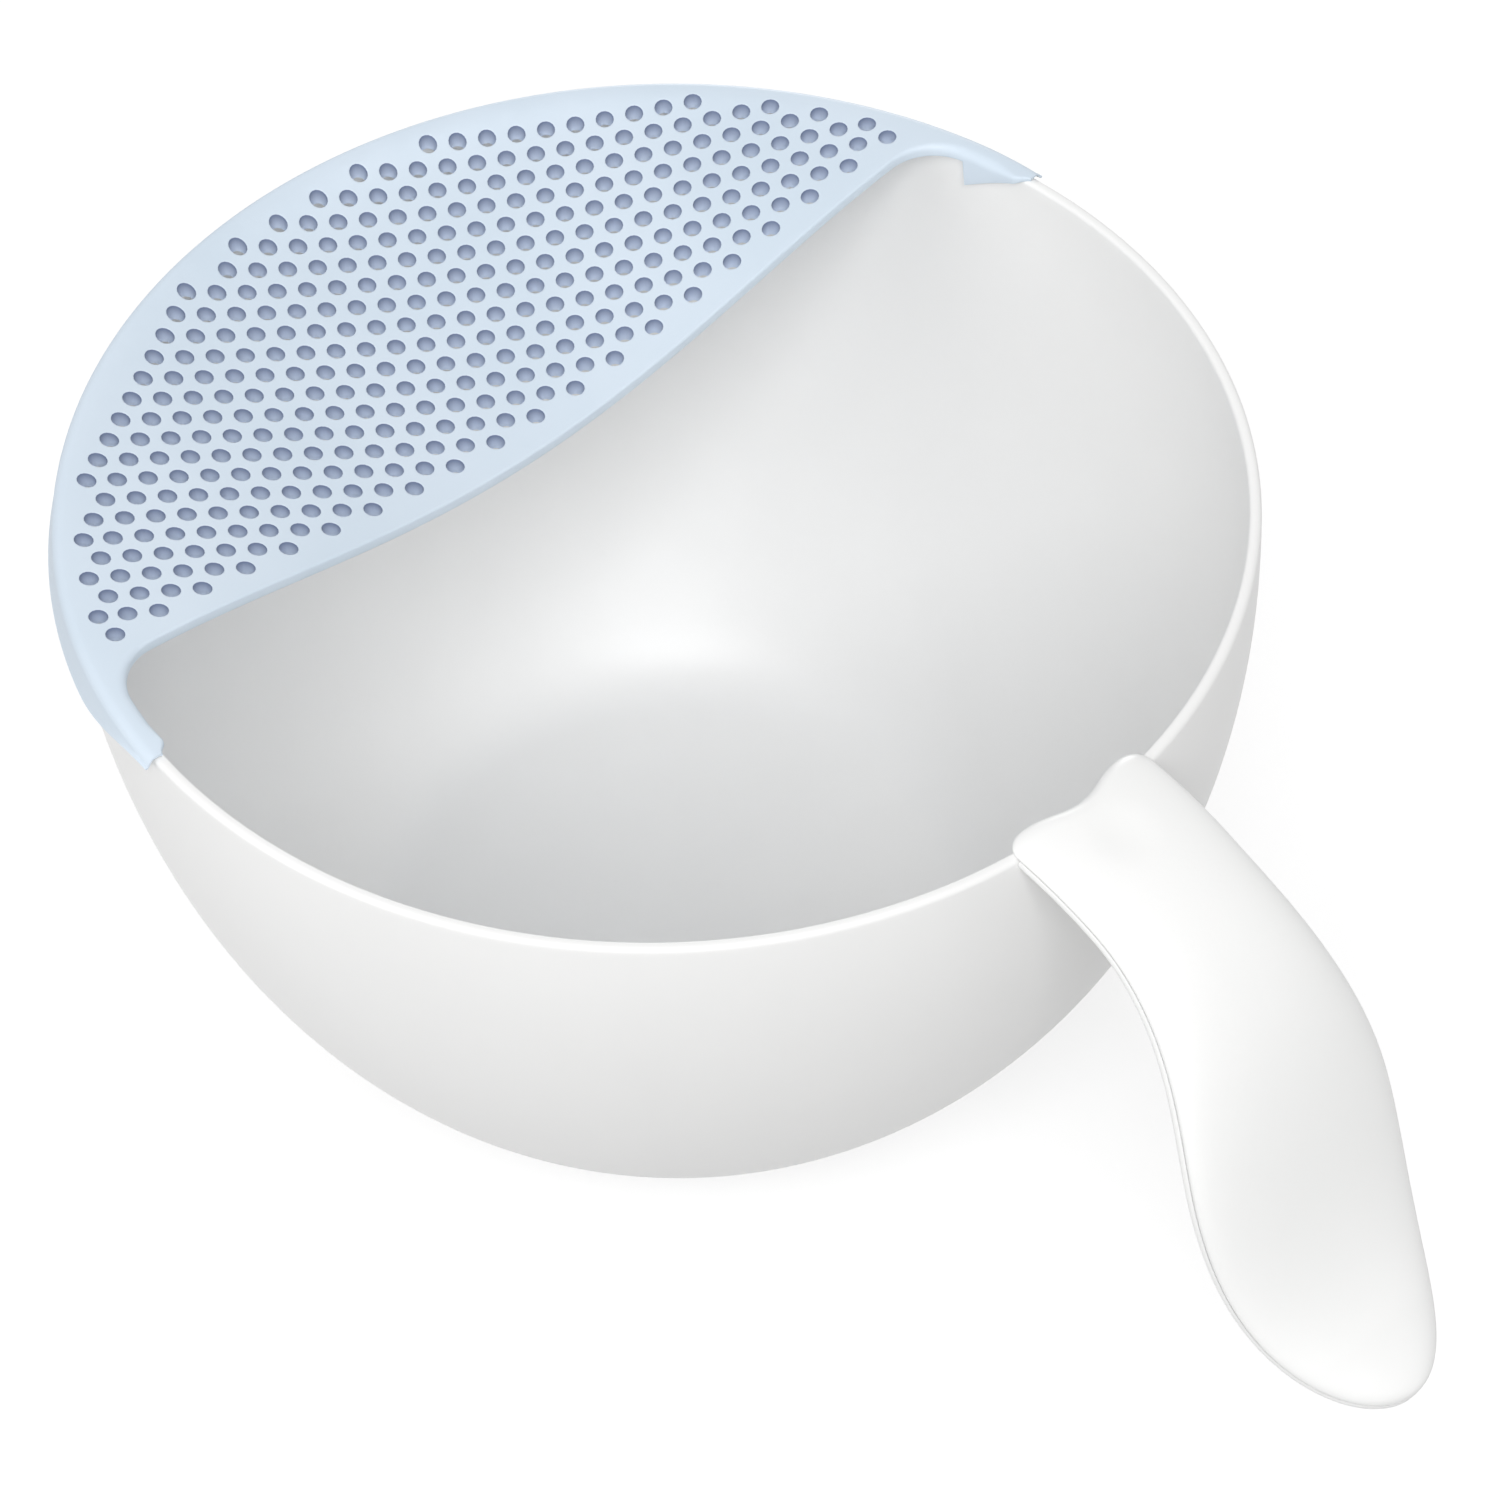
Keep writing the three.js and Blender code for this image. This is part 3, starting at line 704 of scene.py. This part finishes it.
# %% [markdown]
# ## Filling the sheets
# The flat areas between outline and holes have no natural grid. Delaunay triangulation fills them in
# plan: it joins the outline, the hole circles and a few loose points into even triangles, and the
# height function then lifts them.

# %% Sheet filling
LOOSE_PITCH = 2.2
LOOSE_CLEAR = 0.7
SAME_POINT = 1e-5
INSIDE_RING = 0.98


def nearest(points, others):
    """Distance in plan from each point to the nearest of the others."""
    return np.hypot(*(points[:, None] - others[None]).transpose(2, 0, 1)).min(1)


def filled_plan(outline, ring_radius):
    """Triangles in plan between an outline and the hole circles of the given radius."""
    circles = holes[:, None, :] + ring_radius * hole_circle
    points = np.concatenate([outline, circles.reshape(-1, 2), loose_points(outline, ring_radius)])
    around = np.arange(len(outline))
    edges = [np.stack([around, np.roll(around, -1)], -1)]
    ring = np.arange(HOLE_SIDES)
    ring_edges = np.stack([ring, np.roll(ring, -1)], -1)
    starts = len(outline) + np.arange(len(holes)) * HOLE_SIDES
    edges.append((ring_edges + starts[:, None, None]).reshape(-1, 2))
    made = delaunay_2d_cdt(points.tolist(), np.concatenate(edges).tolist(), [], 1, SAME_POINT)
    origin = np.array([known[0] for known in made[3]])
    triangles = origin[np.array(made[2])]
    middle = points[triangles].mean(1)
    return points, triangles[nearest(middle, holes) > ring_radius * INSIDE_RING]


def loose_points(outline, ring_radius):
    """An even grid of points inside the outline and clear of it and of every hole.

    A point is inside where a level line from it crosses the outline an odd number of times."""
    low, high = outline.min(0), outline.max(0)
    x, y = np.meshgrid(np.arange(low[0], high[0], LOOSE_PITCH), np.arange(low[1], high[1], LOOSE_PITCH))
    points = np.stack([x.ravel(), y.ravel()], -1)
    a, b = outline, np.roll(outline, -1, 0)
    px, py = points[:, 0:1], points[:, 1:2]
    straddles = (a[:, 1] > py) != (b[:, 1] > py)
    run = np.where(b[:, 1] == a[:, 1], 1, b[:, 1] - a[:, 1])
    crossing = a[:, 0] + (py - a[:, 1]) * (b[:, 0] - a[:, 0]) / run
    inside = (straddles & (px < crossing)).sum(1) % 2 == 1
    clear_of_holes = nearest(points, holes) > ring_radius + LOOSE_CLEAR
    clear_of_outline = nearest(points, outline) > LOOSE_CLEAR
    return points[inside & clear_of_holes & clear_of_outline]


print("loose points", LOOSE_PITCH, "mm apart")

# %% Sheets
top_outline = np.concatenate([border_top, channel[::-1, 0, :2]])
top_plan, top_faces = filled_plan(top_outline, collar_radius)
top_sheet = np.column_stack([top_plan, sheet_height(top_plan[:, 0], top_plan[:, 1])])
under_border = strip[~on_horn, -1]
under_rim = channel[~rim_on_horn, -1]
under_outline = np.concatenate([under_border[:, :2], under_rim[::-1, :2]])
under_plan, under_faces = filled_plan(under_outline, HOLE_RADIUS)
under_sheet = np.column_stack([under_plan, sheet_under(under_plan[:, 0], under_plan[:, 1])])
under_sheet[:len(under_outline), 2] = np.concatenate([under_border[:, 2], under_rim[::-1, 2]])
print("sheets", len(top_faces), len(under_faces), "triangles")

# %% [markdown]
# ## The strainer put together
# The lips' hems and the flat ends of the horns close the body. All patches share their edge points,
# so welding them gives one closed skin, as the real piece is one moulding.

# %% Strainer
STRAINER_BODY = "strainer_clip"
STRAINER_SHARP = 50


def lip_hems():
    """Flat hem of the lip along each horn, between the border strip and the channel's inner wall."""
    horns = (slice(0, horn_count), slice(-horn_count, None))
    return [grid_patch(np.stack([strip[horn, -1], channel[horn, -1]], 1)) for horn in horns]


def horn_ends():
    """The flat end of each horn: the channel's section closed by the border's profile."""
    rings = [np.concatenate([channel[stop], strip[stop, ::-1]]) for stop in (0, -1)]
    return [(ring, [list(range(len(ring)))]) for ring in rings]


strainer_patches = [(top_sheet, top_faces), (under_sheet, under_faces), tube_patch,
                    grid_patch(strip), grid_patch(channel), *lip_hems(), *horn_ends()]
strainer = make_piece("strainer_moulding", strainer_patches, STRAINER_BODY, "strainer",
                      silicone_finish, STRAINER_SHARP)


# %% Painted shade marks for the holes' walls
def read_values(items, name, width, kind):
    """A whole column of mesh data as an array of the given width."""
    values = np.empty(len(items) * width, kind)
    items.foreach_get(name, values)
    return values.reshape(-1, width)


def write_corners(mesh, name, values):
    """A new attribute with one number for each face corner."""
    made = mesh.attributes.new(name, "FLOAT", "CORNER")
    made.data.foreach_set("value", values.astype(np.float32))


def mark_painted_hole_shade(mesh):
    """Two attributes for the finish's painted shade and light: 1 on the holes' walls, and the share of the
    height up the wall.
    """
    x, y, z = read_values(mesh.vertices, "co", 3, np.float32).T / MM
    foot = sheet_under(x, y)
    up = np.clip((z - foot) / (sheet_height(x, y) - foot), 0, 1)
    middle = read_values(mesh.polygons, "center", 3, np.float32)[:, :2] / MM
    painted_shade_faces = nearest(middle, holes) < HOLE_RADIUS
    corners = read_values(mesh.polygons, "loop_total", 1, np.int32)[:, 0]
    points = read_values(mesh.loops, "vertex_index", 1, np.int32)[:, 0]
    # These attributes place the painted shade and painted light on the holes' walls.
    write_corners(mesh, "painted_shade_wall_mask", np.repeat(painted_shade_faces, corners))
    write_corners(mesh, "painted_shade_height", up[points])
    print("hole walls", int(painted_shade_faces.sum()), "faces")


mark_painted_hole_shade(strainer.data)

# %% [markdown]
# ## The handle
# The handle is two shells that meet on a parting line. The line drops from the rim in an S, so it is a
# cubic Bezier curve. Each shell could be sculpted from a box, but then the two would hardly meet. Here
# each is a surface of two parameters: the length along the line and the way across a half section, a
# superellipse that is boxier than an ellipse.

# %% Handle line
HANDLE_REACH = 82.2
HANDLE_DROP = 82.8
HANDLE_RUN = 63.6
RUN_DROP = 4
TIP_ANGLE = 18.4
TIP_LEAD = 48.2
EAR_LAP = 3.8
SEAT_GAP = 0.3
LINE_STEPS = 2000
tip_turn = math.radians(TIP_ANGLE)
line_corners = np.array([
    [RIM_INNER - EAR_LAP, RIM_HEIGHT + SEAT_GAP],
    [RIM_RADIUS + HANDLE_RUN, RIM_HEIGHT - RUN_DROP],
    [RIM_RADIUS + HANDLE_REACH - TIP_LEAD * math.cos(tip_turn),
     RIM_HEIGHT - HANDLE_DROP + TIP_LEAD * math.sin(tip_turn)],
    [RIM_RADIUS + HANDLE_REACH, RIM_HEIGHT - HANDLE_DROP],
])
way = np.linspace(0, 1, LINE_STEPS)[:, None]
weights = np.concatenate([(1 - way) ** 3, 3 * way * (1 - way) ** 2, 3 * way ** 2 * (1 - way), way ** 3], 1)
line = weights @ line_corners
line_lengths = np.concatenate([[0], np.cumsum(np.hypot(*np.diff(line, axis=0).T))])
line_slopes = np.gradient(line, line_lengths, axis=0)
HANDLE_LENGTH = line_lengths[-1]
print("handle length along its parting line", round(HANDLE_LENGTH, 1))


def on_line(along, column, table):
    """One column of a table of the parting line, read at lengths along it."""
    return np.interp(along, line_lengths, table[:, column])


def off_line(along, side, up):
    """Points at a length along the parting line, a distance to the side and a height square to it."""
    slope_x, slope_z = on_line(along, 0, line_slopes), on_line(along, 1, line_slopes)
    x = on_line(along, 0, line) - slope_z * up
    z = on_line(along, 1, line) + slope_x * up
    return np.stack([x, side, z], -1)


# %% Handle outline
NECK_HALF = 16
GRIP_HALF = 23.2
NECK_AT = 23.5
GRIP_AT = 77.9
EAR_START = 1.1
EAR_SIDE = 11.4
EAR_ROUND = 3.2
SADDLE = 2.3


def handle_half(along):
    """Half width: an even neck, a smooth swell to the grip and an elliptical tip."""
    swell = np.clip((along - NECK_AT) / (GRIP_AT - NECK_AT), 0, 1)
    grip = NECK_HALF + (GRIP_HALF - NECK_HALF) * eased(swell)
    past = np.clip((along - GRIP_AT) / (HANDLE_LENGTH - GRIP_AT), 0, 1)
    return grip * np.sqrt(1 - past ** 2)


def ear_front(side):
    """Length along the line where the upper shell starts.

    Between the ears' tips the saddle is one wave of a cosine. Outside them each ear is a quarter of
    an ellipse that runs into the side of the neck."""
    inner = np.minimum(np.abs(side) / EAR_SIDE, 1)
    outer = np.clip((np.abs(side) - EAR_SIDE) / (NECK_HALF - EAR_SIDE), 0, 1)
    saddle = SADDLE * (1 + np.cos(np.pi * inner)) / 2
    return EAR_START + saddle + EAR_ROUND * (1 - np.sqrt(1 - outer ** 2))


def wall_front(side):
    """Length along the line where the lower shell starts: the bowl's outside wall plus the seat gap."""
    return np.sqrt((RIM_RADIUS + SEAT_GAP) ** 2 - side ** 2) - (RIM_INNER - EAR_LAP)


print("the lower shell starts", round(float(wall_front(0)), 1), "mm along the line")

# %% Handle crown
SECTION_POWER = 2.3
ACROSS_STOPS = 41
EAR_THIN = 0.6
EAR_REACH = 40
THUMB_AT = 13
THUMB_RADIUS = 7
THUMB_DEPTH = 0.45
across_turn = np.linspace(0, np.pi, ACROSS_STOPS)
across = np.sign(np.cos(across_turn)) * np.abs(np.cos(across_turn)) ** (2 / SECTION_POWER)
arch = np.sin(across_turn) ** (2 / SECTION_POWER)


def ear_growth(along):
    """Share of the crown's full height: thin over the rim, full from the end of the neck on."""
    return EAR_THIN + (1 - EAR_THIN) * eased(np.clip(along / EAR_REACH, 0, 1))


def thumb_hollow(along, side):
    """Depth of a shallow round hollow for the thumb: the squared rest of 1 less the squared distance."""
    gap = np.hypot(along - THUMB_AT, side) / THUMB_RADIUS
    return THUMB_DEPTH * np.maximum(0, 1 - gap ** 2) ** 2


print("half section of", ACROSS_STOPS, "stops, thumb hollow", THUMB_DEPTH, "mm deep")

# %% Handle shells
CROWN = 5
BELLY = 6
ALONG_STOPS = 150
END_CROWD = 1.5
NOSE = 3.5
SEAM_GAP = 0.3
SEAM_ROUND = 0.35
SHELL_SHARP = 60


def shell_grid(front, height, nose):
    """Points of the crown and of the flat side: lengths from the front to the tip, sides across.

    The rows crowd towards both ends. The crown's height is a superellipse across, thins with the
    width, and rises over the nose. A shell without a nose has a plain front."""
    step = np.linspace(0, 1, ALONG_STOPS)[:, None] ** END_CROWD
    run = 1 - (1 - step) ** END_CROWD
    start = front(across * NECK_HALF)
    along = start + (HANDLE_LENGTH - start) * run
    half = handle_half(along)
    thin = np.sqrt(np.minimum(1, half / NECK_HALF))
    lift = np.clip((along - start) / nose, 0, 1) if nose else np.ones_like(along)
    rise = np.sqrt(1 - (1 - lift) ** 2)
    flat = math.copysign(SEAM_GAP / 2, height)
    growth = ear_growth(along) if nose else 1.0
    thick = np.maximum(0, abs(height) * thin * growth - SEAM_GAP / 2)
    up = flat + math.copysign(1, height) * thick * arch * rise
    if nose:
        up = up - thumb_hollow(along, across * half)
    pinch = SEAM_ROUND * np.exp(-(up - flat) ** 2 / SEAM_ROUND ** 2)
    side = across * np.maximum(0, half - pinch)
    crown = off_line(along, side, up)
    base = off_line(along, across * np.maximum(0, half - SEAM_ROUND), np.full_like(up, flat))
    return crown, base


def shell_patches(front, height, nose):
    """Crown, flat side and front face of one shell."""
    crown, base = shell_grid(front, height, nose)
    return [grid_patch(crown), grid_patch(base), grid_patch(np.stack([crown[0], base[0]]))]


make_piece("handle_top_shell", shell_patches(ear_front, CROWN, NOSE), BOWL_BODY,
           "handle_upper_shell", handle_finish, SHELL_SHARP)
lower_shell = make_piece("handle_bottom_shell", shell_patches(wall_front, -BELLY, 0), BOWL_BODY,
                         "handle_lower_shell", handle_finish, SHELL_SHARP)

# %% [markdown]
# ## Screws
# Three screws go in from below and hold the shells together. Their heads lie in round pockets, so that
# no metal touches the hand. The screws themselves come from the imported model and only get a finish. A
# pocket is a cylinder cut from the lower shell by a Boolean, which is at once turned into plain mesh.

# %% Pockets
HEAD_HEIGHT = 1.6
POCKET_CLEAR = 0.3
POCKET_REACH = 8
POCKET_SIDES = 40


def screw_head(mesh):
    """Middle of the head's outer face, the direction out of it and its radius.

    The axis is the direction in which the points spread most. The head is the end with wider points."""
    points = read_values(mesh.vertices, "co", 3, np.float32) / MM
    middle = points.mean(0)
    axis = np.linalg.svd(points - middle, full_matrices=False)[2][0]
    along = (points - middle) @ axis
    wide = np.linalg.norm(points - middle - np.outer(along, axis), axis=1)
    if along[wide.argmax()] < 0:
        axis, along = -axis, -along
    return middle + axis * along.max(), axis, wide.max()


def pocket_cutter(face, out, radius):
    """A closed cylinder from under the head to well outside the shell."""
    side = np.cross(out, [0, 1, 0])
    side /= np.linalg.norm(side)
    turn = np.linspace(0, 2 * np.pi, POCKET_SIDES, endpoint=False)[:, None]
    ring = radius * (np.cos(turn) * side + np.sin(turn) * np.cross(out, side))
    low = face - out * (HEAD_HEIGHT + POCKET_CLEAR)
    high = face + out * POCKET_REACH
    grid = np.stack([low + 0 * ring, low + ring, high + ring, high + 0 * ring])
    return joined_mesh("pocket", [grid_patch(grid, round_columns=True)])


def cut_pocket(shell, cutter_mesh):
    """Takes the cutter away from the shell and keeps the result as the shell's own mesh."""
    cutter = bpy.data.objects.new("pocket", cutter_mesh)
    bpy.context.scene.collection.objects.link(cutter)
    cut = shell.modifiers.new("pocket", "BOOLEAN")
    cut.operation = "DIFFERENCE"
    cut.solver = "EXACT"
    cut.object = cutter
    result = bpy.data.meshes.new_from_object(shell.evaluated_get(bpy.context.evaluated_depsgraph_get()))
    shell.modifiers.clear()
    shell.data = result
    result.set_sharp_from_angle(angle=math.radians(SHELL_SHARP))
    bpy.data.objects.remove(cutter)


print("pockets", POCKET_CLEAR, "mm wider than the heads")

# %% Screws
SCREWS = ("grip_screw", "tang_screw_front", "tang_screw_back")

for screw in SCREWS:
    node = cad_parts[screw]
    node.data.materials.clear()
    node.data.materials.append(steel_finish)
    face, out, radius = screw_head(node.data)
    cut_pocket(lower_shell, pocket_cutter(face, out, radius + POCKET_CLEAR))
    print(screw, "head at", face.round(1), "faces", out.round(2), "radius", round(float(radius), 2))
print(lower_shell.name, len(lower_shell.data.polygons), "faces after the pockets")

# %% [markdown]
# ## Floor
# The photograph is a cut-out on white. A backdrop lit until it is white would also light the object too
# much. So a pale floor glows a little where it is seen, lights nothing by it, and keeps the shadow that
# shows where the object stands.

# %% Floor
FLOOR_SIZE = 6.0
FLOOR_COLOUR = (0.42, 0.42, 0.42, 1)
FLOOR_GLOW = 0.66


def seen_share(tree):
    """Output that is 1 for rays from the camera, a mirror or glass, and 0 for rays that carry light."""
    rays = tree.nodes.new("ShaderNodeLightPath")
    share = rays.outputs["Is Camera Ray"]
    for ray in ("Is Glossy Ray", "Is Transmission Ray"):
        larger = tree.nodes.new("ShaderNodeMath")
        larger.operation = "MAXIMUM"
        tree.links.new(share, larger.inputs[0])
        tree.links.new(rays.outputs[ray], larger.inputs[1])
        share = larger.outputs[0]
    return share


def floor_material():
    """A pale diffuse floor with a glow that is seen but lights nothing."""
    material = bpy.data.materials.new("pale_floor")
    material.use_nodes = True
    tree = material.node_tree
    tree.nodes.clear()
    output = tree.nodes.new("ShaderNodeOutputMaterial")
    diffuse = tree.nodes.new("ShaderNodeBsdfDiffuse")
    diffuse.inputs["Color"].default_value = FLOOR_COLOUR
    glow = tree.nodes.new("ShaderNodeEmission")
    level = tree.nodes.new("ShaderNodeMath")
    level.operation = "MULTIPLY"
    level.inputs[1].default_value = FLOOR_GLOW
    tree.links.new(seen_share(tree), level.inputs[0])
    tree.links.new(level.outputs[0], glow.inputs["Strength"])
    both = tree.nodes.new("ShaderNodeAddShader")
    tree.links.new(diffuse.outputs[0], both.inputs[0])
    tree.links.new(glow.outputs[0], both.inputs[1])
    tree.links.new(both.outputs[0], output.inputs["Surface"])
    return material


half_floor = FLOOR_SIZE / 2
floor_mesh = bpy.data.meshes.new("floor")
floor_mesh.from_pydata([(-half_floor, -half_floor, 0), (half_floor, -half_floor, 0),
                        (half_floor, half_floor, 0), (-half_floor, half_floor, 0)], [], [(0, 1, 2, 3)])
floor_mesh.materials.append(floor_material())
floor = bpy.data.objects.new("floor", floor_mesh)
bpy.context.scene.collection.objects.link(floor)
print("floor", FLOOR_SIZE, "m wide")

# %% [markdown]
# ## Light
# The photograph has broad light from the front and hardly any shadow, as in a white tent. The white
# surround gives the even part of it. It is seen as white but lights at about half that strength. A
# large square lamp above the camera and a weaker one low on the left model the wall of the bowl, and a
# weak low one behind it lights the far side.

# %% Surround
SURROUND_LIGHT = 0.55


def studio_world():
    """A white surround: strength 1 where it is seen, and a low strength where it lights the object."""
    world = bpy.data.worlds.new("studio")
    world.use_nodes = True
    tree = world.node_tree
    level = tree.nodes.new("ShaderNodeMapRange")
    level.inputs["To Min"].default_value = SURROUND_LIGHT
    level.inputs["To Max"].default_value = 1.0
    tree.links.new(seen_share(tree), level.inputs["Value"])
    background = tree.nodes["Background"]
    background.inputs["Color"].default_value = (1, 1, 1, 1)
    tree.links.new(level.outputs["Result"], background.inputs["Strength"])
    return world


bpy.context.scene.world = studio_world()
bpy.context.scene.view_settings.view_transform = "Standard"
print("surround lights at", SURROUND_LIGHT)

# %% Lamps
LAMP_AIM = np.array([0, 0, 0.08])


def look_along(direction):
    """Rotation that turns a lamp's -Z to a direction."""
    back = -direction / np.linalg.norm(direction)
    side = np.cross([0, 1, 0], back)
    side /= np.linalg.norm(side)
    matrix = np.eye(4)
    matrix[:3, :3] = np.stack([side, np.cross(back, side), back], 1)
    return Matrix(matrix.tolist())


def soft_lamp(name, place, size, power):
    """A square area lamp at a place in metres that faces the middle of the bowl."""
    lamp = bpy.data.lights.new(name, "AREA")
    lamp.shape = "SQUARE"
    lamp.size = size
    lamp.energy = power
    made = bpy.data.objects.new(name, lamp)
    made.matrix_world = Matrix.Translation(place) @ look_along(LAMP_AIM - np.array(place))
    bpy.context.scene.collection.objects.link(made)
    print(name, "lamp", size, "m wide", power, "W")


soft_lamp("key", place=(0.86, -0.76, 1.32), size=1.0, power=17.5)
soft_lamp("side", place=(-0.53, -1.53, 0.6), size=0.9, power=5)
soft_lamp("back", place=(-1.0, 1.0, 0.24), size=0.4, power=4)

# %% [markdown]
# ## Bringing the scene up to date
# The looks must not make the object larger. Here the scene is brought up to date.

# %% Bringing the scene up to date
bpy.context.view_layer.update()
